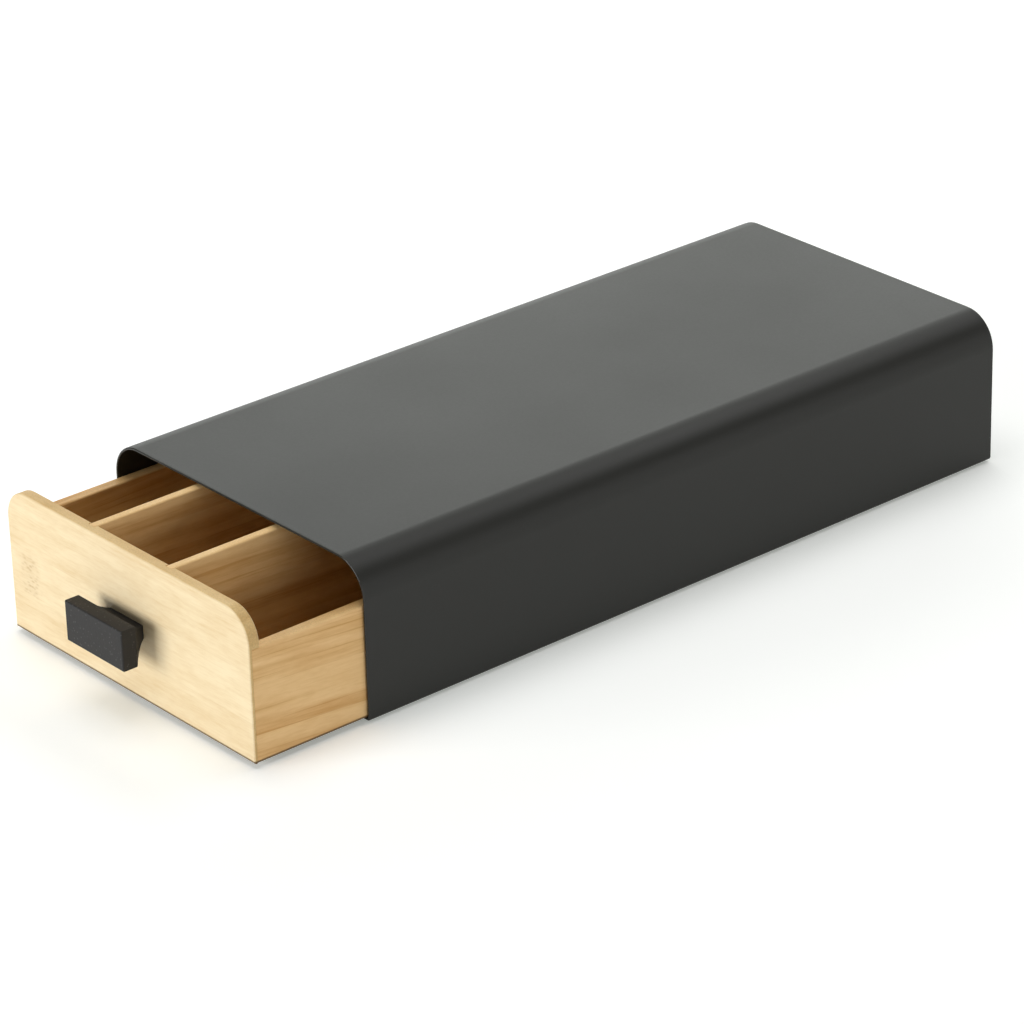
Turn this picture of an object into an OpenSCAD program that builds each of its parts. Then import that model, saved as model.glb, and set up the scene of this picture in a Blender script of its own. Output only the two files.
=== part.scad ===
// Coffee pod drawer: a folded steel sleeve, closed at the rear, with a
// three-lane bamboo drawer that slides out of its open front.
// Sizes are in millimetres. +Z is up, -Y is the front, and the origin is the
// middle of the footprint, on the surface that the drawer stands on.

/* [Sleeve] */
// Outside width of the steel sleeve
sleeve_w = 180; // [150:1:240]
// Outside length of the sleeve, from its front edge to its rear edge
sleeve_l = 385; // [280:1:480]
// Outside height of the sleeve
sleeve_h = 75; // [68:0.5:100]
// Thickness of the sleeve's sheet steel
sheet_t = 1.2; // [0.8:0.1:2]
// Outside radius of the two long top corners
corner_r = 17; // [12:0.5:19]
// Inside radius of the two tight bottom folds
fold_r = 0.5; // [0.3:0.1:0.8]

/* [Back plate] */
// Thickness of the back plate's sheet steel
back_t = 1; // [0.8:0.1:1.5]
// How far the back plate sits in from the sleeve's rear edge
back_inset = 10; // [6:0.5:20]
// Outside radius of the bends between the plate and its tabs
back_bend_r = 2; // [1.8:0.1:3]
// How far the tabs stop short of the sleeve's rear edge
tab_short = 0.8; // [0.3:0.1:2]
// Width of the relief notch at each end of a tab
relief_w = 1.5; // [1:0.1:3]
// Gap between the back plate and the inside of the sleeve
weld_gap = 0.05; // [0.02:0.01:0.2]

/* [Pads and bumpers] */
// Diameter of the anti-slip pads under the sleeve
pad_d = 16; // [8:1:30]
// Thickness of the anti-slip pads
pad_t = 1; // [0.8:0.1:3]
// Distance from the sleeve's edges to the middle of each pad
pad_edge = 20; // [16:1:60]
// Diameter of the bumpers inside the back plate
bumper_d = 10; // [6:1:16]
// Thickness of the bumpers
bumper_t = 2.5; // [1.5:0.1:5]
// Distance between the middles of the two bumpers
bumper_span = 110; // [40:1:120]

/* [Drawer fit] */
// Running gap between the drawer and each side of the sleeve
side_gap = 0.5; // [0.3:0.1:1.5]
// Running gap between the drawer and the sleeve's floor
under_gap = 0.3; // [0.3:0.1:1]
// Gap between the front panel's top and the sleeve's ceiling
top_gap = 1.7; // [1.2:0.1:3]
// Gap left at the bumpers when the drawer is shut
shut_gap = 0.3; // [0.3:0.1:1]
// How far the drawer stands open
drawer_open = 61; // [20:1:200]

/* [Drawer boards] */
// Thickness of the front panel, the rear wall and the side walls
board_t = 6; // [5:0.5:9]
// How far the side walls stop below the start of the sleeve's shoulders
wall_drop = 2.2; // [0.5:0.1:20]
// Running gap between the sleeve's shoulders and the round corners of the boards
shoulder_gap = 0.8; // [0.5:0.1:1.2]
// Board left in front of the side walls' ends
lip_t = 1.5; // [1:0.1:2.5]
// Thickness of the two lane dividers
divider_t = 4.5; // [3:0.1:6]
// Depth of the housings that hold the dividers' ends
housing_d = 2; // [1:0.1:3]
// Thickness of the drawer's floor
floor_t = 3; // [2:0.1:4]
// Height of the floor's underside above the drawer's lower edge
floor_lift = 3; // [2:0.1:6]
// Depth of the groove that holds the floor
groove_d = 3; // [1.5:0.1:3.5]
// Width of the bevel along the boards' edges
bevel = 0.5; // [0.2:0.1:0.8]

/* [Knob] */
// Width of the knob's face
knob_w = 41.8; // [36:0.1:60]
// Height of the knob's face
knob_h = 19.6; // [16:0.1:30]
// Thickness of the knob's plate
knob_plate = 7.6; // [5:0.1:9]
// Distance from the front panel to the knob's face
knob_reach = 18; // [15:0.5:25]
// Height of the knob's middle above the drawer's lower edge
knob_z = 34.6; // [30:0.1:45]
// Width of the knob's foot on the panel
foot_w = 23.8; // [16:0.1:32]
// Height of the knob's foot on the panel
foot_h = 6.6; // [6:0.1:10]
// Depth of the hollow in the two sides of the flare
side_dip = 0.4; // [0.2:0.1:1.5]
// Depth of the hollow in the top and bottom of the flare
top_dip = 1.5; // [0.4:0.1:2]
// Width of the bevel around the knob's face
knob_bevel = 0.4; // [0.2:0.1:1]

/* [Knob screw] */
// Diameter of the screw
screw_d = 4; // [3:0.5:4]
// How far the screw runs into the knob
screw_bite = 8; // [6:0.5:9]
// Diameter of the screw's head
head_d = 7.6; // [6.5:0.1:9]
// Height of the screw's head
head_h = 2.2; // [1.5:0.1:2.4]
// Diameter of the washer
washer_d = 9; // [8:0.1:10]
// Thickness of the washer
washer_t = 0.8; // [0.5:0.1:1]
// Radial gap between the screw and its holes
screw_gap = 0.1; // [0.05:0.05:0.3]
// Radial gap between the washer and its recess
recess_gap = 0.4; // [0.2:0.1:1]

/* [Hidden] */
$fn = 96;
// Overrun that carries a cut clean through a face
cut = 1;

steel_black = [0.30, 0.30, 0.29];
plate_black = [0.24, 0.24, 0.24];
rubber_black = [0.10, 0.10, 0.10];
bamboo_pale = [0.95, 0.86, 0.68];
bamboo_side = [0.80, 0.66, 0.45];
bamboo_floor = [0.72, 0.56, 0.36];
knob_black = [0.20, 0.21, 0.22];
zinc = [0.75, 0.76, 0.78];

// Places along Y: the whole length is centred on the origin
total_l = sleeve_l + drawer_open + knob_reach;
rear_y = total_l / 2;
front_y = rear_y - sleeve_l;
drawer_y = front_y - drawer_open;
plate_y = rear_y - back_inset;
// Heights
drawer_z = pad_t + sheet_t + under_gap;
panel_h = sleeve_h - 2 * sheet_t - under_gap - top_gap;
wall_h = sleeve_h - corner_r - sheet_t - under_gap - wall_drop;
// Round corners of the front panel and the rear wall
panel_r = corner_r - sheet_t - shoulder_gap;
// Drawer box
drawer_w = sleeve_w - 2 * (sheet_t + side_gap);
drawer_l = sleeve_l - back_inset - back_t - bumper_t - shut_gap;
inner_w = drawer_w - 2 * board_t;
lane_w = (inner_w - 2 * divider_t) / 3;
divider_x = (lane_w + divider_t) / 2;
floor_top = floor_lift + floor_t;
// Screw: its head and washer sit flush in a recess behind the front panel
recess_d = washer_t + head_h;

// A rounded section of the sleeve, taken in by an inset all round
module sleeve_section(inset) {
    w = sleeve_w - 2 * inset;
    h = sleeve_h - 2 * inset;
    top_r = corner_r - inset;
    low_r = fold_r + sheet_t - inset;
    translate([0, inset]) {
        translate([-w / 2, low_r]) square([w, h - top_r - low_r]);
        translate([-w / 2 + low_r, 0]) square([w - 2 * low_r, low_r + cut]);
        translate([-w / 2 + top_r, h - top_r - cut]) square([w - 2 * top_r, top_r + cut]);
        for (side = [-1, 1]) {
            translate([side * (w / 2 - low_r), low_r]) circle(low_r);
            translate([side * (w / 2 - top_r), h - top_r]) circle(top_r);
        }
    }
}

// Stands a section drawn in X and Z upright and runs it back from y
module run_back(y, length) {
    translate([0, y + length, 0]) rotate([90, 0, 0]) linear_extrude(length) children();
}

// One sheet folded round into a closed sleeve
module sleeve() {
    color(steel_black)
    translate([0, 0, pad_t]) difference() {
        run_back(front_y, sleeve_l) sleeve_section(0);
        run_back(front_y - cut, sleeve_l + 2 * cut) sleeve_section(sheet_t);
    }
}

// Section of a tab: a bend out of the plate, then flat to the tab's rear edge
module tab_profile() {
    difference() {
        circle(back_bend_r);
        circle(back_bend_r - back_t);
        translate([0, -back_bend_r]) square(2 * back_bend_r);
        translate([-back_bend_r, -2 * back_bend_r]) square(2 * back_bend_r);
    }
    translate([0, back_bend_r - back_t]) square([back_inset - tab_short - back_bend_r + back_t, back_t]);
}

// Turns a tab so that its flat lies against one wall of the sleeve
module place_tab(turn, reach, length) {
    translate([0, plate_y - back_t + back_bend_r, sleeve_h / 2]) rotate([0, turn, 0])
        translate([-length / 2, 0, reach - back_bend_r])
            rotate([90, 0, 90]) linear_extrude(length) tab_profile();
}

// Plate that closes the sleeve's rear end, with a tab bent back along each of
// its four sides and spot-welded to the sleeve
module back_plate() {
    rim = sheet_t + weld_gap;
    half_w = sleeve_w / 2 - rim;
    half_h = sleeve_h / 2 - rim;
    top_l = sleeve_w - 2 * corner_r - 2 * relief_w;
    side_l = sleeve_h - 2 * corner_r - 2 * relief_w;
    color(plate_black)
    translate([0, 0, pad_t]) {
        difference() {
            run_back(plate_y - back_t, back_t) sleeve_section(rim);
            // Notches where the tabs leave the plate, a relief wider than the tabs
            for (side = [-1, 1]) {
                translate([side * half_w, plate_y - back_t / 2, sleeve_h / 2])
                    cube([2 * back_bend_r, 2 * back_t, side_l + 2 * relief_w], center = true);
                translate([0, plate_y - back_t / 2, sleeve_h / 2 + side * half_h])
                    cube([top_l + 2 * relief_w, 2 * back_t, 2 * back_bend_r], center = true);
            }
        }
        place_tab(0, half_h, top_l);
        place_tab(180, half_h, top_l);
        place_tab(90, half_w, side_l);
        place_tab(-90, half_w, side_l);
    }
}

// Anti-slip pad stuck under one corner of the sleeve
module pad(x_side, y_mid) {
    color(rubber_black)
    translate([x_side * (sleeve_w / 2 - pad_edge), y_mid, 0])
        rotate_extrude() polygon([
            [0, 0], [pad_d / 2 - pad_t / 4, 0], [pad_d / 2, pad_t / 4], [pad_d / 2, pad_t], [0, pad_t]
        ]);
}

module pad_front_left() pad(-1, front_y + pad_edge);
module pad_front_right() pad(1, front_y + pad_edge);
module pad_rear_left() pad(-1, rear_y - pad_edge);
module pad_rear_right() pad(1, rear_y - pad_edge);

// Domed bumper on the inside of the back plate, level with the drawer's middle
module bumper(x_side) {
    dome_r = (pow(bumper_d / 2, 2) + pow(bumper_t, 2)) / (2 * bumper_t);
    color(rubber_black)
    translate([x_side * bumper_span / 2, plate_y - back_t, pad_t + sleeve_h / 2])
        rotate([90, 0, 0]) intersection() {
            cylinder(d = bumper_d, h = bumper_t);
            translate([0, 0, bumper_t - dome_r]) sphere(dome_r);
        }
}

module bumper_left() bumper(-1);
module bumper_right() bumper(1);

// Puts a piece of the drawer, modelled with its front face at y = 0 and its
// lower edge at z = 0, in its place in the sleeve
module in_drawer() {
    translate([0, drawer_y, drawer_z]) children();
}

// Outline of the front panel and the rear wall: square below, round above
module panel_outline() {
    translate([-drawer_w / 2, 0]) square([drawer_w, panel_h - panel_r]);
    translate([-drawer_w / 2 + panel_r, panel_h - panel_r - cut])
        square([drawer_w - 2 * panel_r, panel_r + cut]);
    for (side = [-1, 1])
        translate([side * (drawer_w / 2 - panel_r), panel_h - panel_r]) circle(panel_r);
}

// Cutter that bevels the whole rim of a panel's face at y = 0
module rim_bevel() {
    // Triangle across the edge: x runs out past the rim and y into the board
    over = bevel;
    tri = [[-bevel, -over], [over, -over], [over, bevel + over], [0, bevel], [-bevel, 0]];
    straight_h = panel_h - panel_r;
    straight_w = drawer_w - 2 * panel_r;
    for (side = [-1, 1]) {
        mirror([side < 0 ? 1 : 0, 0, 0]) {
            translate([drawer_w / 2, 0, -cut]) linear_extrude(straight_h + cut) polygon(tri);
            translate([drawer_w / 2 - panel_r, 0, panel_h - panel_r]) rotate([90, 0, 0]) mirror([0, 0, 1])
                rotate_extrude(angle = 90) translate([panel_r, 0]) polygon(tri);
        }
    }
    translate([-straight_w / 2, 0, panel_h]) rotate([90, 0, 90]) linear_extrude(straight_w)
        polygon([for (p = tri) [p[1], p[0]]]);
    translate([-drawer_w / 2, 0, 0]) rotate([90, 0, 90]) linear_extrude(drawer_w)
        polygon([for (p = tri) [p[1], -p[0]]]);
}

// Board with round shoulders, rabbeted for the side walls, housed for the
// dividers and grooved for the floor, all in its face at y = board_t
module end_board() {
    difference() {
        run_back(0, board_t) panel_outline();
        rim_bevel();
        translate([0, board_t, 0]) mirror([0, 1, 0]) rim_bevel();
        for (side = [-1, 1]) {
            // Rabbet that takes the end of a side wall
            translate([side > 0 ? inner_w / 2 : -inner_w / 2 - board_t - cut, lip_t, -cut])
                cube([board_t + cut, board_t, wall_h + cut]);
            // Housing that takes the end of a divider
            translate([side * divider_x - divider_t / 2, board_t - housing_d, floor_lift])
                cube([divider_t, housing_d + cut, panel_h]);
        }
        // Groove that takes the edge of the floor
        translate([-inner_w / 2, board_t - groove_d, floor_lift])
            cube([inner_w, groove_d + cut, floor_t]);
    }
}

// Front panel, drilled and recessed for the knob's screw
module front_panel() {
    color(bamboo_pale)
    in_drawer() difference() {
        end_board();
        translate([0, -cut, knob_z]) rotate([-90, 0, 0])
            cylinder(d = screw_d + 2 * screw_gap, h = board_t + 2 * cut);
        translate([0, board_t - recess_d, knob_z]) rotate([-90, 0, 0])
            cylinder(d = washer_d + 2 * recess_gap, h = recess_d + cut);
    }
}

// Rear wall, cut from the same board as the front panel
module rear_wall() {
    color(bamboo_side)
    in_drawer() translate([0, drawer_l, 0]) mirror([0, 1, 0]) end_board();
}

// Bar of board stock with beveled long edges, running back from y
module bar(y, length, thick, high) {
    b = bevel;
    run_back(y, length) polygon([
        [b, 0], [thick - b, 0], [thick, b], [thick, high - b],
        [thick - b, high], [b, high], [0, high - b], [0, b]
    ]);
}

// Side wall, grooved for the floor; drawn for the left and mirrored for the right
module side_wall() {
    in_drawer() translate([-drawer_w / 2, 0, 0]) difference() {
        bar(lip_t, drawer_l - 2 * lip_t, board_t, wall_h);
        translate([board_t - groove_d, 0, floor_lift])
            cube([groove_d + cut, drawer_l, floor_t]);
    }
}

module left_wall() color(bamboo_side) side_wall();
module right_wall() color(bamboo_side) mirror([1, 0, 0]) side_wall();

// Lane divider, standing on the floor with its ends in their housings
module divider(x_side) {
    reach_in = board_t - housing_d;
    in_drawer() translate([x_side * divider_x - divider_t / 2, 0, floor_top])
        bar(reach_in, drawer_l - 2 * reach_in, divider_t, panel_h - floor_top);
}

module left_divider() color(bamboo_side) divider(-1);
module right_divider() color(bamboo_side) divider(1);

// Floor board, held in the grooves all round
module drawer_floor() {
    reach_in = board_t - groove_d;
    color(bamboo_floor)
    in_drawer() translate([-inner_w / 2 - groove_d, reach_in, floor_lift])
        cube([inner_w + 2 * groove_d, drawer_l - 2 * reach_in, floor_t]);
}

// Radius of the arc over a chord that dips by a given depth
function dip_radius(chord, dip) = chord * chord / (8 * dip) + dip / 2;

// Outline of the knob's block seen along one of its long edges, beveled in front
module knob_outline(face) {
    b = knob_bevel;
    mirror([0, 1]) polygon([
        [-face / 2, 0], [face / 2, 0], [face / 2, knob_reach - b], [face / 2 - b, knob_reach],
        [b - face / 2, knob_reach], [-face / 2, knob_reach - b]
    ]);
}

// Pair of rods that hollow two sides of the block into the flare: each leaves the
// side at the back of the plate and reaches the foot at the panel
module flare_rods(face, foot, dip) {
    run = knob_reach - knob_plate;
    step = (face - foot) / 2;
    chord = norm([step, run]);
    rod_r = dip_radius(chord, dip);
    off = (rod_r - dip) / chord;
    for (side = [-1, 1])
        translate([side * ((face + foot) / 4 + off * run), off * step - run / 2, -knob_w])
            cylinder(r = rod_r, h = 2 * knob_w);
}

// Knob: a rectangular plate whose back flares in to a narrow foot, with a
// blind hole for its screw
module knob() {
    color(knob_black)
    in_drawer() translate([0, 0, knob_z]) difference() {
        intersection() {
            translate([0, 0, -knob_h / 2]) linear_extrude(knob_h) knob_outline(knob_w);
            translate([-knob_w / 2, 0, 0]) rotate([0, 90, 0]) linear_extrude(knob_w)
                knob_outline(knob_h);
        }
        flare_rods(knob_w, foot_w, side_dip);
        rotate([0, 90, 0]) flare_rods(knob_h, foot_h, top_dip);
        rotate([90, 0, 0]) translate([0, 0, -cut])
            cylinder(d = screw_d + 2 * screw_gap, h = screw_bite + 1 + cut);
    }
}

// Pan-head machine screw with a cross recess, driven from inside the drawer
module knob_screw() {
    slot_w = screw_d / 4;
    slot_l = head_d / 2;
    shank_l = screw_bite + board_t - head_h;
    color(zinc)
    in_drawer() translate([0, board_t, knob_z]) rotate([90, 0, 0]) difference() {
        union() {
            cylinder(d = head_d, h = head_h);
            translate([0, 0, head_h - cut]) cylinder(d = screw_d, h = shank_l + cut);
        }
        for (turn = [0, 90])
            rotate(turn) translate([-slot_l / 2, -slot_w / 2, -cut])
                cube([slot_l, slot_w, cut + head_h / 2]);
    }
}

// Plain washer under the screw's head
module knob_washer() {
    color(zinc)
    in_drawer() translate([0, board_t - head_h, knob_z]) rotate([90, 0, 0]) difference() {
        cylinder(d = washer_d, h = washer_t);
        translate([0, 0, -cut]) cylinder(d = screw_d + 2 * screw_gap, h = washer_t + 2 * cut);
    }
}

sleeve();
back_plate();
pad_front_left();
pad_front_right();
pad_rear_left();
pad_rear_right();
bumper_left();
bumper_right();
front_panel();
rear_wall();
left_wall();
right_wall();
left_divider();
right_divider();
drawer_floor();
knob();
knob_screw();
knob_washer();
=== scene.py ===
import bpy
from mathutils import Matrix, Vector


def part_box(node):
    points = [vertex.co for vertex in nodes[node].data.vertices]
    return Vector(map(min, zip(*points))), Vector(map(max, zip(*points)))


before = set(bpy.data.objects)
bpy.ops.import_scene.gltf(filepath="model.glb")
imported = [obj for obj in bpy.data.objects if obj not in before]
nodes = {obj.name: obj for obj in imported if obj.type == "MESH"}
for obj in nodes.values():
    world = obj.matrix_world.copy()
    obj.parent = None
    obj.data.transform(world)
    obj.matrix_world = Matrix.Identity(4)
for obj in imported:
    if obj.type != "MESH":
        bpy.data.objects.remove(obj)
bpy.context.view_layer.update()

scene = bpy.context.scene


# ---- Camera ----
# A long lens, a little above the drawer and to the right of its front. Its place
# is in metres, and its three directions are those of its own frame.
camera_data = bpy.data.cameras.new("camera")
camera_data.lens = 157.885
camera_data.sensor_width = 36.0
camera_data.sensor_fit = "HORIZONTAL"
camera_data.clip_start = 0.05
camera_data.clip_end = 60.0
camera = bpy.data.objects.new("camera", camera_data)
scene.collection.objects.link(camera)
camera_right = Vector((0.649906, 0.759577, -0.025798))
camera_up = Vector((-0.316927, 0.301708, 0.899183))
camera_back = Vector((0.690782, -0.576207, 0.436812))
camera_place = Vector((1.44331, -1.19826, 0.9298))
camera_turn = Matrix((camera_right, camera_up, camera_back)).transposed().to_4x4()
camera.matrix_world = Matrix.Translation(camera_place) @ camera_turn
scene.camera = camera


# ---- Sleeve ----
# One sheet of 1.2 mm steel folded round into a closed sleeve, welded and ground
# along the middle of its underside, then coated with a fine matt black powder.
SLEEVE_FRONT, SLEEVE_BACK = (corner.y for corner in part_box("sleeve"))
SAME_POINT = 0.00001        # corners of neighbouring faces that lie this close are one
SAME_PLANE = 0.008          # neighbouring faces that turn by less than this, in radians, are one
SHARP_ARRIS = 0.5           # arrises that turn by more than this, in radians, are eased
DOUBLED_POINT = 0.000003    # corners that easing has left this close are one
WIDE_FACE_WEIGHT = 90       # how far the wide faces rule the shading over the eased arrises


def link(tree, source, target):
    tree.links.new(source, target)


def add(tree, kind, **settings):
    """Adds a node with its settings; inputs holds a value or a wire for each socket, by name or number."""
    made = tree.nodes.new(kind)
    inputs = settings.pop("inputs", {})
    for key, value in settings.items():
        setattr(made, key, value)
    for key, value in inputs.items():
        if isinstance(value, bpy.types.NodeSocket):
            link(tree, value, made.inputs[key])
        else:
            made.inputs[key].default_value = value
    return made


def sums(tree, operation, first, second=0.0, third=0.0, clamp=False):
    """One step of arithmetic on masks and values."""
    made = add(tree, "ShaderNodeMath", operation=operation, use_clamp=clamp,
               inputs={0: first, 1: second, 2: third})
    return made.outputs[0]


def spread(tree, value, low, high, low_out=0.0, high_out=1.0):
    """Eases a value from low_out to high_out as it goes from low to high."""
    made = add(tree, "ShaderNodeMapRange", interpolation_type="SMOOTHSTEP",
               inputs={"Value": value, "From Min": low, "From Max": high,
                       "To Min": low_out, "To Max": high_out})
    return made.outputs["Result"]


def blend(tree, amount, first, second, kind="MIX"):
    """Lays the second colour over the first by the amount."""
    made = add(tree, "ShaderNodeMix", data_type="RGBA", blend_type=kind)
    for socket, value in ((made.inputs[0], amount), (made.inputs[6], first), (made.inputs[7], second)):
        if isinstance(value, bpy.types.NodeSocket):
            link(tree, value, socket)
        else:
            socket.default_value = value
    return made.outputs[2]


def noise(tree, vector, scale, detail, rough):
    """Soft noise from 0 to 1; the scale is in waves to a metre where the vector is in metres."""
    made = add(tree, "ShaderNodeTexNoise", inputs={
        "Vector": vector, "Scale": scale, "Detail": detail, "Roughness": rough})
    return made.outputs["Fac"]


def dots(tree, vector, scale, solid, gone):
    """Small round spots, one to a cell: full inside the solid radius and faded out at the gone one."""
    made = add(tree, "ShaderNodeTexVoronoi", inputs={"Vector": vector, "Scale": scale})
    return spread(tree, made.outputs["Distance"], solid, gone, 1.0, 0.0)


def new_group(name, takes, gives):
    """Starts a shader node group with named sockets, and returns it with its ends."""
    tree = bpy.data.node_groups.new(name, "ShaderNodeTree")
    for label, kind, value in takes:
        socket = tree.interface.new_socket(label, in_out="INPUT", socket_type=kind)
        if value is not None:
            socket.default_value = value
    for label, kind in gives:
        tree.interface.new_socket(label, in_out="OUTPUT", socket_type=kind)
    start = tree.nodes.new("NodeGroupInput")
    end = tree.nodes.new("NodeGroupOutput")
    return tree, start.outputs, end.inputs


def new_finish(name):
    """Starts a material and returns it with its tree, its Principled shader and its coordinates."""
    finish = bpy.data.materials.new(name)
    finish.use_nodes = True
    tree = finish.node_tree
    shader = tree.nodes["Principled BSDF"]
    place = tree.nodes.new("ShaderNodeTexCoord").outputs["Object"]
    return finish, tree, shader, place


def place_group(tree, group, **sockets):
    """Places a node group in a material, with a value or a wire for each of its sockets."""
    made = tree.nodes.new("ShaderNodeGroup")
    made.node_tree = group
    for label, value in sockets.items():
        socket = made.inputs[label.replace("_", " ")]
        if isinstance(value, bpy.types.NodeSocket):
            link(tree, value, socket)
        else:
            socket.default_value = value
    return made.outputs


def raise_from(tree, shader, height, depth):
    """Feeds a height to the shader's normal as a bump of a real depth in metres."""
    bump = add(tree, "ShaderNodeBump", inputs={"Strength": 1.0, "Distance": depth, "Height": height})
    link(tree, bump.outputs["Normal"], shader.inputs["Normal"])


def dress(node, finish, round_over=0.0, steps=2):
    """Gives a CAD piece its finish, and rounds its arrises by a hair."""
    piece = nodes[node]
    mesh = piece.data
    mesh.materials.clear()
    mesh.materials.append(finish)
    if "custom_normal" in mesh.attributes:
        mesh.attributes.remove(mesh.attributes["custom_normal"])
    mesh.polygons.foreach_set("use_smooth", [True] * len(mesh.polygons))
    weld = piece.modifiers.new("join the faces", "WELD")
    weld.merge_threshold = SAME_POINT
    flat = piece.modifiers.new("one face to a plane", "DECIMATE")
    flat.decimate_type = "DISSOLVE"
    flat.angle_limit = SAME_PLANE
    if round_over:
        bevel = piece.modifiers.new("eased arris", "BEVEL")
        bevel.width = round_over
        bevel.segments = steps
        bevel.limit_method = "ANGLE"
        bevel.angle_limit = SHARP_ARRIS
        bevel.use_clamp_overlap = True
        clean = piece.modifiers.new("no doubled points", "WELD")
        clean.merge_threshold = DOUBLED_POINT
    even = piece.modifiers.new("flat faces stay flat", "WEIGHTED_NORMAL")
    even.keep_sharp = True
    even.weight = WIDE_FACE_WEIGHT


# The skin of a baked powder coat: fine orange peel and grit, pinhead specks, and a
# slow cloudiness from one end of the sheet to the other. All counts are to a metre.
PEEL_COUNT = 900.0
GRIT_COUNT = 1700.0
CLOUD_COUNT = 9.0
SPECK_SOLID = 0.10          # radii of a speck, as parts of the distance between specks
SPECK_GONE = 0.24
SPECK_BASE = 0.96           # brightness where there is neither a speck nor a cloud
CLOUD_LIFT = 0.08
CLOUD_ROUGH = 0.10
CLOUD_ROUGH_LOW = -0.05
PEEL_ROUGH = 0.08
GRIT_HEIGHT = 0.4           # height of the grit beside that of the peel

powder, powder_in, powder_out = new_group(
    "powder_skin",
    [("Place", "NodeSocketVector", None), ("Colour", "NodeSocketColor", (0.1, 0.1, 0.1, 1.0)),
     ("Speckle", "NodeSocketFloat", 0.1), ("Speck pitch", "NodeSocketFloat", 0.0015),
     ("Roughness", "NodeSocketFloat", 0.5)],
    [("Colour", "NodeSocketColor"), ("Roughness", "NodeSocketFloat"), ("Height", "NodeSocketFloat")])
peel = noise(powder, powder_in["Place"], PEEL_COUNT, detail=2.0, rough=0.6)
grit = noise(powder, powder_in["Place"], GRIT_COUNT, detail=1.0, rough=0.5)
speck_count = sums(powder, "DIVIDE", 1.0, powder_in["Speck pitch"])
specks = dots(powder, powder_in["Place"], speck_count, SPECK_SOLID, SPECK_GONE)
cloud = noise(powder, powder_in["Place"], CLOUD_COUNT, detail=3.0, rough=0.55)
tone = sums(powder, "MULTIPLY_ADD", specks, powder_in["Speckle"], SPECK_BASE)
tone = sums(powder, "MULTIPLY_ADD", cloud, CLOUD_LIFT, tone)
tone_colour = add(powder, "ShaderNodeCombineColor", inputs={0: tone, 1: tone, 2: tone}).outputs[0]
link(powder, blend(powder, 1.0, powder_in["Colour"], tone_colour, "MULTIPLY"), powder_out["Colour"])
rough_change = sums(powder, "MULTIPLY_ADD", cloud, CLOUD_ROUGH, CLOUD_ROUGH_LOW)
rough_grit = sums(powder, "MULTIPLY_ADD", peel, PEEL_ROUGH, rough_change)
link(powder, sums(powder, "ADD", powder_in["Roughness"], rough_grit), powder_out["Roughness"])
link(powder, sums(powder, "MULTIPLY_ADD", grit, GRIT_HEIGHT, peel), powder_out["Height"])

POWDER_BLACK = (0.0147, 0.0148, 0.0120, 1.0)
POWDER_EDGE = (0.030, 0.030, 0.028, 1.0)
POWDER_SPECKLE = 0.12
POWDER_DEPTH = 0.000012
POWDER_GLOSS = 0.34
SLEEVE_ROUGH = 0.44
SLEEVE_EASE = 0.0005
EDGE_SOLID = 0.0003         # how far the thin coat reaches in from a cut edge
EDGE_GONE = 0.0006
EDGE_RAGGED = 0.0004        # how far its limit wanders
EDGE_RAGGED_COUNT = 700.0
EDGE_PALER = 0.7
EDGE_SMOOTHER = -0.30


def powder_coat(name, colour, rough, cut_edges):
    """Matt black powder on sheet steel. On the cut edges, given as places along Y with the way
    inward, the coat is thinner, paler and smoother, because it draws back from a sharp edge."""
    finish, tree, shader, place = new_finish(name)
    along = add(tree, "ShaderNodeSeparateXYZ", inputs={0: place}).outputs["Y"]
    ragged = noise(tree, place, EDGE_RAGGED_COUNT, detail=2.0, rough=0.6)
    edge = None
    for cut, inward in cut_edges:
        depth = sums(tree, "MULTIPLY", sums(tree, "SUBTRACT", along, cut), inward)
        depth = sums(tree, "MULTIPLY_ADD", ragged, EDGE_RAGGED, depth)
        near = spread(tree, depth, EDGE_SOLID, EDGE_GONE, 1.0, 0.0)
        edge = near if edge is None else sums(tree, "MAXIMUM", edge, near)
    skin_colour = colour
    skin_rough = rough
    if edge is not None:
        skin_colour = blend(tree, sums(tree, "MULTIPLY", edge, EDGE_PALER), colour, POWDER_EDGE)
        skin_rough = sums(tree, "MULTIPLY_ADD", edge, EDGE_SMOOTHER, rough)
    skin = place_group(tree, powder, Place=place, Colour=skin_colour, Speckle=POWDER_SPECKLE,
                       Roughness=skin_rough)
    link(tree, skin["Colour"], shader.inputs["Base Color"])
    link(tree, skin["Roughness"], shader.inputs["Roughness"])
    shader.inputs["Specular IOR Level"].default_value = POWDER_GLOSS
    raise_from(tree, shader, skin["Height"], POWDER_DEPTH)
    return finish


sleeve_coat = powder_coat("sleeve_powder_coat", POWDER_BLACK, SLEEVE_ROUGH,
                          [(SLEEVE_FRONT, 1.0), (SLEEVE_BACK, -1.0)])
dress("sleeve", sleeve_coat, SLEEVE_EASE, steps=4)


# ---- Back plate ----
# Plate of 1 mm steel with four folded tabs, spot-welded inside the sleeve's rear
# end and coated together with it.
PLATE_ROUGH = 0.46
PLATE_EASE = 0.0002
plate_coat = powder_coat("plate_powder_coat", POWDER_BLACK, PLATE_ROUGH, [])
dress("back_plate", plate_coat, PLATE_EASE)


# ---- Pads and bumpers ----
# Four self-adhesive discs of black rubber under the sleeve, and two domed
# bumpers of the same rubber that the drawer shuts against.
RUBBER_BLACK = (0.018, 0.018, 0.018, 1.0)
RUBBER_BLOOM = (0.040, 0.040, 0.038, 1.0)
RUBBER_SMOOTH = 0.62
RUBBER_DULL = 0.85
RUBBER_PORE_DEPTH = 0.00004
BLOOM_COUNT = 160.0
RUBBER_PORE_COUNT = 1500.0
PAD_EASE = 0.0001

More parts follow.
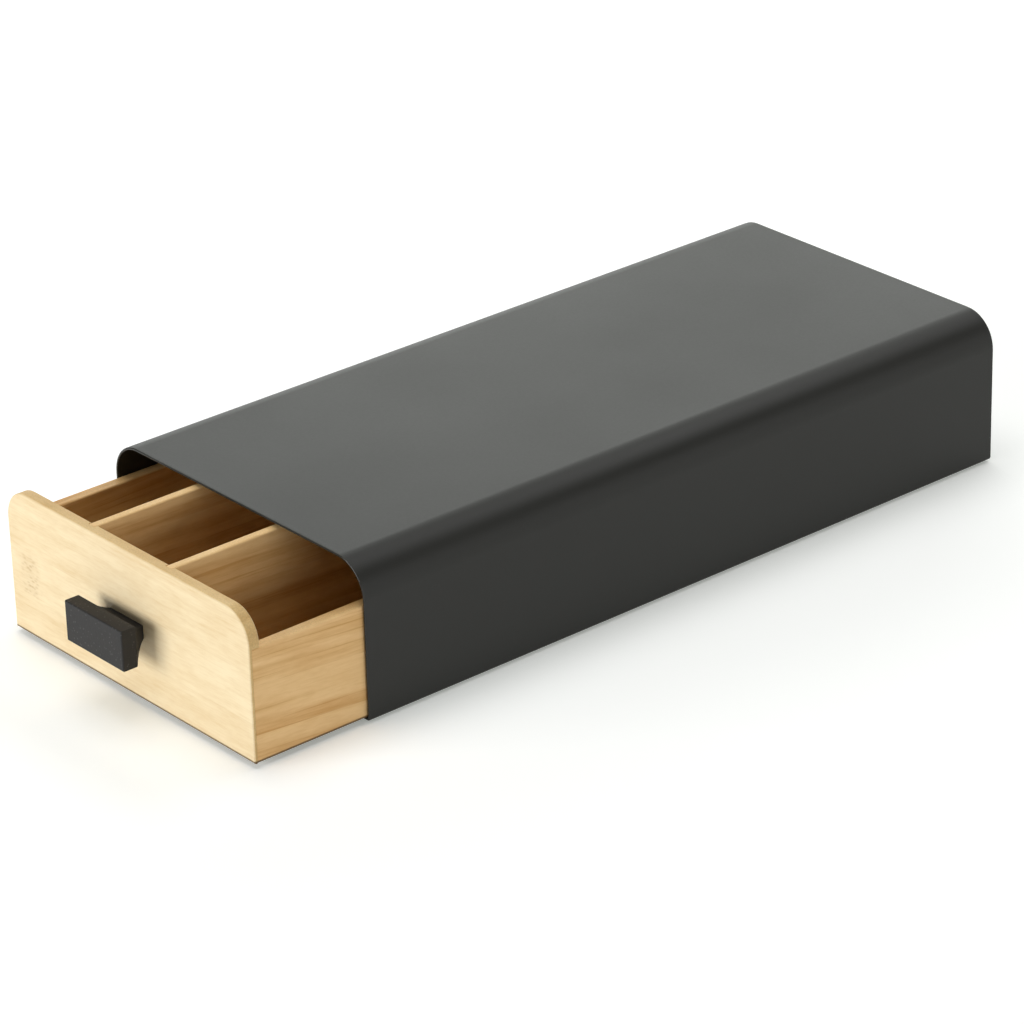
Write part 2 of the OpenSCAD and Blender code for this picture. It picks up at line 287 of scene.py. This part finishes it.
rubber, rubber_tree, rubber_shader, rubber_place = new_finish("black_rubber")
bloom = noise(rubber_tree, rubber_place, BLOOM_COUNT, detail=4.0, rough=0.6)
rubber_pores = noise(rubber_tree, rubber_place, RUBBER_PORE_COUNT, detail=2.0, rough=0.6)
rubber_colour = blend(rubber_tree, bloom, RUBBER_BLACK, RUBBER_BLOOM)
link(rubber_tree, rubber_colour, rubber_shader.inputs["Base Color"])
rubber_rough = spread(rubber_tree, bloom, 0.3, 0.7, RUBBER_SMOOTH, RUBBER_DULL)
link(rubber_tree, rubber_rough, rubber_shader.inputs["Roughness"])
raise_from(rubber_tree, rubber_shader, rubber_pores, RUBBER_PORE_DEPTH)
for pad in ("pad_front_left", "pad_front_right", "pad_rear_left", "pad_rear_right"):
    dress(pad, rubber, PAD_EASE, steps=1)
for bumper in ("bumper_left", "bumper_right"):
    dress(bumper, rubber)


# ---- Front panel ----
# Bamboo board, sawn from strips glued edge to edge, sanded, with round upper
# corners and a clear matt varnish. The grain runs across the drawer.
STRIP = 0.0235              # width of one strip of bamboo
STRIP_SHIFT = 7.0           # most that a strip is moved along the cane from its neighbours
WANDER_COUNT = 4.0          # how often, and how far, the grain wanders sideways
WANDER = 0.0030
DASH = (0.0060, 0.0009)     # length and width of each kind of mark along the grain
THREAD = (0.030, 0.0018)
LINE = (0.060, 0.0011)
STREAK = (0.080, 0.0030)
BAND = (0.260, 0.0110)
BLUSH = (0.022, 0.0080)
FLECK = (0.0034, 0.0015)
FLECK_SOLID = 0.10          # radii of a fleck, as parts of the distance between flecks
FLECK_GONE = 0.58
FLAT_GRAIN = 3.0            # marks go this many times their width into the board
STREAK_BASE = 0.5           # a band's strength between its streaks, what a streak adds to it,
STREAK_BREAK = 0.5          # and what a line adds
LINE_STRENGTH = 0.7
RING_PITCH = 0.38           # distance between the rings of a bamboo cane
RING_HALF = 0.0105          # half the width of the flecked band that a ring leaves
RING_STAGGER = 0.5          # each strip's rings lie this part of a pitch on from its neighbour's
RING_LOOSE = 0.08           # and as much as this part out of step
SEAM = 0.02                 # half the width of a glue line, as a part of a strip

bamboo, bamboo_in, bamboo_out = new_group(
    "bamboo_board",
    [("Board", "NodeSocketVector", None), ("Pale", "NodeSocketColor", None),
     ("Warm", "NodeSocketColor", None), ("Ring", "NodeSocketColor", None),
     ("Fine", "NodeSocketFloat", 1.0), ("Streaks", "NodeSocketFloat", 0.5), ("Lean", "NodeSocketFloat", 0.0),
     ("First ring", "NodeSocketFloat", 0.0), ("Seed", "NodeSocketFloat", 0.0)],
    [("Colour", "NodeSocketColor"), ("Roughness", "NodeSocketFloat"), ("Height", "NodeSocketFloat")])

# The strips, counted across the board, and each strip's own dice and place along the cane.
board_parts = add(bamboo, "ShaderNodeSeparateXYZ", inputs={0: bamboo_in["Board"]}).outputs
drift = noise(bamboo, bamboo_in["Board"], WANDER_COUNT, detail=1.0, rough=0.4)
across = sums(bamboo, "MULTIPLY_ADD", drift, WANDER, board_parts["Y"])
across = sums(bamboo, "MULTIPLY_ADD", board_parts["X"], bamboo_in["Lean"], across)
strip_count = sums(bamboo, "DIVIDE", across, STRIP)
strip_number = sums(bamboo, "FLOOR", strip_count)
strip_place = sums(bamboo, "FRACT", strip_count)
strip_dice = add(bamboo, "ShaderNodeTexWhiteNoise", noise_dimensions="1D", inputs={
    "W": sums(bamboo, "ADD", strip_number, bamboo_in["Seed"])}).outputs["Value"]
along = sums(bamboo, "MULTIPLY_ADD", strip_dice, STRIP_SHIFT, board_parts["X"])
along = sums(bamboo, "ADD", along, bamboo_in["Seed"])


def stretched(mark):
    """The board's own coordinates, scaled so that a texture comes out as long and wide as the mark."""
    length, width = mark
    return add(bamboo, "ShaderNodeCombineXYZ", inputs={
        0: sums(bamboo, "DIVIDE", along, length),
        1: sums(bamboo, "DIVIDE", across, width),
        2: sums(bamboo, "DIVIDE", board_parts["Z"], FLAT_GRAIN * width)}).outputs[0]


def fibre(mark, detail, rough, low, high):
    """Noise drawn out along the grain into marks: none below the low level, full above the high one."""
    return spread(bamboo, noise(bamboo, stretched(mark), 1.0, detail, rough), low, high)


dashes = fibre(DASH, 2.0, 0.6, 0.40, 0.68)
threads = fibre(THREAD, 3.0, 0.6, 0.38, 0.70)
lines = fibre(LINE, 1.0, 0.5, 0.60, 0.72)
bands = fibre(BAND, 1.0, 0.5, 0.42, 0.60)
blush = fibre(BLUSH, 2.0, 0.5, 0.35, 0.65)
broken = fibre(STREAK, 3.0, 0.6, 0.36, 0.66)
streaks = sums(bamboo, "MULTIPLY", bands, sums(bamboo, "MULTIPLY_ADD", broken, STREAK_BREAK, STREAK_BASE))
streaks = sums(bamboo, "MULTIPLY_ADD", sums(bamboo, "MULTIPLY", lines, bands), LINE_STRENGTH, streaks)

# Every other strip carries its rings half a pitch further on, give or take.
ring_shift = sums(bamboo, "MULTIPLY_ADD", strip_number, RING_STAGGER,
                  sums(bamboo, "MULTIPLY", strip_dice, RING_LOOSE))
from_ring = sums(bamboo, "SUBTRACT", board_parts["X"], bamboo_in["First ring"])
ring_count = sums(bamboo, "ADD", sums(bamboo, "DIVIDE", from_ring, RING_PITCH), ring_shift)
ring_phase = sums(bamboo, "FRACT", sums(bamboo, "ADD", ring_count, 0.5))
ring_reach = sums(bamboo, "MULTIPLY", sums(bamboo, "ABSOLUTE", sums(bamboo, "SUBTRACT", ring_phase, 0.5)),
                  RING_PITCH)
strip_middle = sums(bamboo, "ABSOLUTE", sums(bamboo, "SUBTRACT", strip_place, 0.5))
ring_band = spread(bamboo, ring_reach, 0.0, RING_HALF, 1.0, 0.0)
ring_band = sums(bamboo, "MULTIPLY", ring_band, spread(bamboo, strip_middle, 0.30, 0.50, 1.0, 0.0))
ring_flecks = dots(bamboo, stretched(FLECK), 1.0, FLECK_SOLID, FLECK_GONE)
seam_mask = spread(bamboo, sums(bamboo, "SUBTRACT", 0.5, strip_middle), 0.0, SEAM, 1.0, 0.0)

# How far each mark takes the pale wood towards the warm one, or towards the rings' brown.
DASH_WARMTH = 0.20
THREAD_WARMTH = 0.20
BLUSH_WARMTH = 0.24
STRIP_WARMTH = 0.16
STRIP_WARMTH_LOW = -0.10
FLECK_TINT = 0.40
RING_TINT = 0.14
SEAM_TINT = 0.05
THREAD_ROUGH = 0.10         # roughness that a thread adds to the varnish
VARNISH_ROUGH = 0.46
DASH_SUNK = -0.6            # heights of the marks in the surface, beside each other
THREAD_SUNK = -0.4
SEAM_SUNK = -0.5

fine_grain = sums(bamboo, "MULTIPLY_ADD", dashes, DASH_WARMTH,
                  sums(bamboo, "MULTIPLY", threads, THREAD_WARMTH))
fine_grain = sums(bamboo, "MULTIPLY_ADD", blush, BLUSH_WARMTH, fine_grain)
warmth = sums(bamboo, "MULTIPLY_ADD", strip_dice, STRIP_WARMTH, STRIP_WARMTH_LOW)
warmth = sums(bamboo, "MULTIPLY_ADD", fine_grain, bamboo_in["Fine"], warmth)
warmth = sums(bamboo, "MULTIPLY_ADD", streaks, bamboo_in["Streaks"], warmth, clamp=True)
wood_colour = blend(bamboo, warmth, bamboo_in["Pale"], bamboo_in["Warm"])
ring_brown = sums(bamboo, "MULTIPLY_ADD", ring_flecks, FLECK_TINT, RING_TINT)
wood_colour = blend(bamboo, sums(bamboo, "MULTIPLY", ring_band, ring_brown), wood_colour, bamboo_in["Ring"])
wood_colour = blend(bamboo, sums(bamboo, "MULTIPLY", seam_mask, SEAM_TINT), wood_colour, bamboo_in["Ring"])
link(bamboo, wood_colour, bamboo_out["Colour"])
wood_rough = sums(bamboo, "MULTIPLY_ADD", threads, THREAD_ROUGH, VARNISH_ROUGH)
link(bamboo, wood_rough, bamboo_out["Roughness"])
grain_height = sums(bamboo, "MULTIPLY_ADD", dashes, DASH_SUNK, sums(bamboo, "MULTIPLY", threads, THREAD_SUNK))
grain_height = sums(bamboo, "MULTIPLY_ADD", seam_mask, SEAM_SUNK, grain_height)
link(bamboo, grain_height, bamboo_out["Height"])

RING_BROWN = (0.40, 0.25, 0.11, 1.0)
VARNISH_GLOSS = 0.15
GRAIN_DEPTH = 0.00003
PORE_COUNT = 1300.0         # open pores of the sawn edges, to a metre, and their shade
PORE_SHADE = 0.88
# Painted contact shade: a thin brown line along the lowest arris of the panel and side walls, standing in for
# the shadow where they meet the table.
CONTACT_SHADE_BROWN = (0.10, 0.055, 0.02, 1.0)
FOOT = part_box("front_panel")[0].z
CONTACT_SHADE_SOLID = 0.0009       # heights above the foot where the painted contact shade is full, and gone
CONTACT_SHADE_GONE = 0.0016
CONTACT_SHADE_MOST = 0.9


def bamboo_finish(name, grain, strips, through, pale, warm, edge, fine, streaky, lean, first_ring, seed,
                  foot=None):
    """Varnished bamboo. Grain, strips and through name the axes along the grain, across the strips
    and into the board. The sawn edges show open pores and drink more varnish, and edge is the tint
    that it gives them. Foot is the height of the lower arris, where a thin brown line of painted
    contact shade stands in for the shadow on the table."""
    finish, tree, shader, place = new_finish(name)
    axes = add(tree, "ShaderNodeSeparateXYZ", inputs={0: place}).outputs
    board = add(tree, "ShaderNodeCombineXYZ", inputs={
        0: axes[grain], 1: axes[strips], 2: axes[through]}).outputs[0]
    wood = place_group(tree, bamboo, Board=board, Pale=pale, Warm=warm, Ring=RING_BROWN,
                       Fine=fine, Streaks=streaky, Lean=lean, First_ring=first_ring, Seed=seed)
    facing = add(tree, "ShaderNodeSeparateXYZ", inputs={
        0: tree.nodes.new("ShaderNodeNewGeometry").outputs["True Normal"]}).outputs[through]
    on_edge = spread(tree, sums(tree, "ABSOLUTE", facing), 0.2, 0.9, 1.0, 0.0)
    pores = spread(tree, noise(tree, place, PORE_COUNT, detail=2.0, rough=0.6), 0.36, 0.64)
    sawn = blend(tree, pores, tuple(channel * PORE_SHADE for channel in edge), edge)
    varnished = blend(tree, on_edge, wood["Colour"], sawn, "MULTIPLY")
    # Painted contact shade: a brown line along the lowest arris stands in for the shadow on the table.
    if foot is not None:
        contact_shade = spread(tree, axes["Z"], foot + CONTACT_SHADE_SOLID, foot + CONTACT_SHADE_GONE, CONTACT_SHADE_MOST, 0.0)
        varnished = blend(tree, contact_shade, varnished, CONTACT_SHADE_BROWN)
    link(tree, varnished, shader.inputs["Base Color"])
    link(tree, wood["Roughness"], shader.inputs["Roughness"])
    shader.inputs["Specular IOR Level"].default_value = VARNISH_GLOSS
    raise_from(tree, shader, wood["Height"], GRAIN_DEPTH)
    return finish


PANEL_PALE = (0.775, 0.65, 0.43, 1.0)
PANEL_WARM = (0.64, 0.475, 0.26, 1.0)
PANEL_EDGE = (1.0, 0.85, 0.59, 1.0)
BOARD_EASE = 0.0003         # the sanded arris of every board
panel_wood = bamboo_finish("panel_bamboo", "X", "Z", "Y", PANEL_PALE, PANEL_WARM, PANEL_EDGE,
                           fine=1.0, streaky=0.20, lean=0.0, first_ring=0.125, seed=4.3, foot=FOOT)
dress("front_panel", panel_wood, BOARD_EASE)


# ---- Rear wall, side walls and dividers ----
# The rest of the box, from warmer boards of the same bamboo. The grain runs
# along each board, and the boards are glued in their rabbets and housings.
SIDE_PALE = (0.90, 0.615, 0.295, 1.0)
SIDE_WARM = (0.66, 0.365, 0.125, 1.0)
SIDE_EDGE = (1.0, 1.0, 0.98, 1.0)
rear_wood = bamboo_finish("rear_bamboo", "X", "Z", "Y", SIDE_PALE, SIDE_WARM, SIDE_EDGE,
                          fine=0.7, streaky=0.6, lean=0.0, first_ring=0.03, seed=8.1)
dress("rear_wall", rear_wood, BOARD_EASE)
for board_name, board_lean, board_ring, board_seed, board_foot in (
        ("left_wall", -0.03, 0.05, 1.2, FOOT), ("right_wall", 0.08, 0.10, 42.2, FOOT),
        ("left_divider", 0.02, -0.04, 5.4, None), ("right_divider", 0.04, 0.11, 6.8, None)):
    board_wood = bamboo_finish(board_name + "_bamboo", "Y", "Z", "X", SIDE_PALE, SIDE_WARM, SIDE_EDGE,
                               fine=0.6, streaky=0.7, lean=board_lean, first_ring=board_ring,
                               seed=board_seed, foot=board_foot)
    dress(board_name, board_wood, BOARD_EASE)


# ---- Drawer floor ----
# Thin board of the same bamboo strips, its grain along the drawer, let into
# grooves that run all round the inside of the box.
FLOOR_PALE = (0.62, 0.46, 0.27, 1.0)
FLOOR_WARM = (0.46, 0.31, 0.15, 1.0)
floor_wood = bamboo_finish("floor_bamboo", "Y", "X", "Z", FLOOR_PALE, FLOOR_WARM, SIDE_EDGE,
                           fine=0.8, streaky=0.6, lean=0.0, first_ring=0.06, seed=3.9)
dress("drawer_floor", floor_wood)


# ---- Knob ----
# Cast metal block with a waisted neck, in a fine textured black finish whose
# pale specks show against the black.
KNOB_BLACK = (0.017, 0.0165, 0.0165, 1.0)
KNOB_GLOSS = 0.26
KNOB_DEPTH = 0.00004
KNOB_ROUGH = 0.5
KNOB_SPECKLE = 1.8
KNOB_SPECK_PITCH = 0.0021
KNOB_EASE = 0.0004
knob_finish, knob_tree, knob_shader, knob_place = new_finish("knob_black")
knob_skin = place_group(knob_tree, powder, Place=knob_place, Colour=KNOB_BLACK,
                        Speckle=KNOB_SPECKLE, Speck_pitch=KNOB_SPECK_PITCH, Roughness=KNOB_ROUGH)
link(knob_tree, knob_skin["Colour"], knob_shader.inputs["Base Color"])
link(knob_tree, knob_skin["Roughness"], knob_shader.inputs["Roughness"])
knob_shader.inputs["Specular IOR Level"].default_value = KNOB_GLOSS
raise_from(knob_tree, knob_shader, knob_skin["Height"], KNOB_DEPTH)
dress("knob", knob_finish, KNOB_EASE, steps=3)


# ---- Knob screw and washer ----
# Bright zinc-plated steel: an M4 pan head with a cross recess and its washer, sunk
# in the panel's back and screwed from inside the drawer into the knob.
ZINC_GREY = (0.50, 0.51, 0.53, 1.0)
ZINC_BRIGHT = (0.72, 0.73, 0.75, 1.0)
ZINC_CLOUD_COUNT = 300.0
ZINC_SMOOTH = 0.25
ZINC_DULL = 0.42
ZINC_DEPTH = 0.00001
SCREW_EASE = 0.00012
WASHER_EASE = 0.00008
zinc, zinc_tree, zinc_shader, zinc_place = new_finish("zinc_plate")
zinc_cloud = noise(zinc_tree, zinc_place, ZINC_CLOUD_COUNT, detail=3.0, rough=0.6)
link(zinc_tree, blend(zinc_tree, zinc_cloud, ZINC_GREY, ZINC_BRIGHT), zinc_shader.inputs["Base Color"])
zinc_shader.inputs["Metallic"].default_value = 1.0
zinc_rough = spread(zinc_tree, zinc_cloud, 0.3, 0.7, ZINC_SMOOTH, ZINC_DULL)
link(zinc_tree, zinc_rough, zinc_shader.inputs["Roughness"])
raise_from(zinc_tree, zinc_shader, zinc_cloud, ZINC_DEPTH)
dress("knob_screw", zinc, SCREW_EASE)
dress("knob_washer", zinc, WASHER_EASE, steps=1)


# ---- Table ----
# Wide pale table top. It keeps the drawer's shadow, and shows white to the
# camera and to gloss where no shadow falls.
TABLE_HALF = 4.0
TABLE_WHITE = (0.92, 0.92, 0.92, 1.0)
TABLE_GLOW = (0.250, 0.263, 0.245, 1.0)
TABLE_FAR = (1.0, 1.0, 1.0, 1.0)
NEAR_REACH = 0.9            # the table fades to plain white between these distances
FAR_REACH = 2.6
floor_mesh = bpy.data.meshes.new("table_top")
floor_mesh.from_pydata(
    [(-TABLE_HALF, -TABLE_HALF, 0.0), (TABLE_HALF, -TABLE_HALF, 0.0),
     (TABLE_HALF, TABLE_HALF, 0.0), (-TABLE_HALF, TABLE_HALF, 0.0)], [], [(0, 1, 2, 3)])
floor = bpy.data.objects.new("table_top", floor_mesh)
scene.collection.objects.link(floor)
table_paint = bpy.data.materials.new("white_table")
table_paint.use_nodes = True
table_tree = table_paint.node_tree
table_tree.nodes.clear()
rays = table_tree.nodes.new("ShaderNodeLightPath").outputs
seen = sums(table_tree, "MAXIMUM", rays["Is Camera Ray"],
            sums(table_tree, "MAXIMUM", rays["Is Glossy Ray"], rays["Is Transmission Ray"]))
matt = add(table_tree, "ShaderNodeBsdfDiffuse", inputs={"Color": TABLE_WHITE})
table_place = table_tree.nodes.new("ShaderNodeTexCoord").outputs["Object"]
reach = add(table_tree, "ShaderNodeVectorMath", operation="LENGTH", inputs={0: table_place}).outputs["Value"]
far_off = spread(table_tree, reach, NEAR_REACH, FAR_REACH)
glow_colour = blend(table_tree, far_off, TABLE_GLOW, TABLE_FAR)
glow = add(table_tree, "ShaderNodeEmission", inputs={"Color": glow_colour, "Strength": seen})
both = table_tree.nodes.new("ShaderNodeAddShader")
link(table_tree, matt.outputs[0], both.inputs[0])
link(table_tree, glow.outputs[0], both.inputs[1])
table_end = table_tree.nodes.new("ShaderNodeOutputMaterial")
link(table_tree, both.outputs[0], table_end.inputs["Surface"])
floor_mesh.materials.append(table_paint)


# ---- Light ----
# Six soft lamps: a wide one low in front that does most of the work, one overhead,
# one high behind and one behind on the left that the sleeve's flat top and shoulder
# reflect, and two weak ones that fill in from the right and from behind on the right.
def soft_light(name, place, aim, width, height, power, colour=(1.0, 1.0, 1.0)):
    """A rectangular lamp at a place, turned to its aim; sizes in metres and power in watts."""
    lamp = bpy.data.lights.new(name, "AREA")
    lamp.color = colour
    lamp.shape = "RECTANGLE"
    lamp.size = width
    lamp.size_y = height
    lamp.energy = power
    stand = bpy.data.objects.new(name, lamp)
    stand.location = place
    stand.rotation_mode = "QUATERNION"
    stand.rotation_quaternion = (Vector(aim) - Vector(place)).to_track_quat("-Z", "Y")
    scene.collection.objects.link(stand)


soft_light("front", (-0.45, -2.3, 0.45), (0.0, -0.15, 0.04), width=1.6, height=0.95, power=47.5)
soft_light("overhead", (-0.3, -0.15, 2.0), (0.0, 0.0, 0.0), width=1.5, height=1.5, power=18.0)
soft_light("high_back", (0.1, 1.35, 1.75), (0.0, 0.05, 0.05), width=1.3, height=0.7, power=10.5)
soft_light("back_left", (-1.8, 1.5, 0.85), (0.0, 0.05, 0.05), width=2.4, height=1.2, power=27.0,
           colour=(0.97, 1.0, 0.965))
soft_light("right", (2.3, -0.4, 0.4), (0.0, 0.0, 0.04), width=1.4, height=0.7, power=10.3)
soft_light("back_right", (1.9, 1.5, 0.7), (0.0, 0.0, 0.05), width=1.8, height=1.0, power=8.5)

# The room round the table is dim and slightly warm, and white to the camera alone.
ROOM_WARM = (1.0, 0.97, 0.93, 1.0)
ROOM_DIM = 0.06
BACKDROP_WHITE = (0.99, 0.99, 0.985, 1.0)
world = bpy.data.worlds.new("studio")
world.use_nodes = True
world_tree = world.node_tree
world_tree.nodes.clear()
world_rays = world_tree.nodes.new("ShaderNodeLightPath").outputs
room = add(world_tree, "ShaderNodeBackground", inputs={"Color": ROOM_WARM, "Strength": ROOM_DIM})
white = add(world_tree, "ShaderNodeBackground", inputs={"Color": BACKDROP_WHITE, "Strength": 1.0})
pick = add(world_tree, "ShaderNodeMixShader", inputs={0: world_rays["Is Camera Ray"]})
link(world_tree, room.outputs[0], pick.inputs[1])
link(world_tree, white.outputs[0], pick.inputs[2])
world_end = world_tree.nodes.new("ShaderNodeOutputWorld")
link(world_tree, pick.outputs[0], world_end.inputs["Surface"])
scene.world = world

scene.view_settings.view_transform = "Standard"
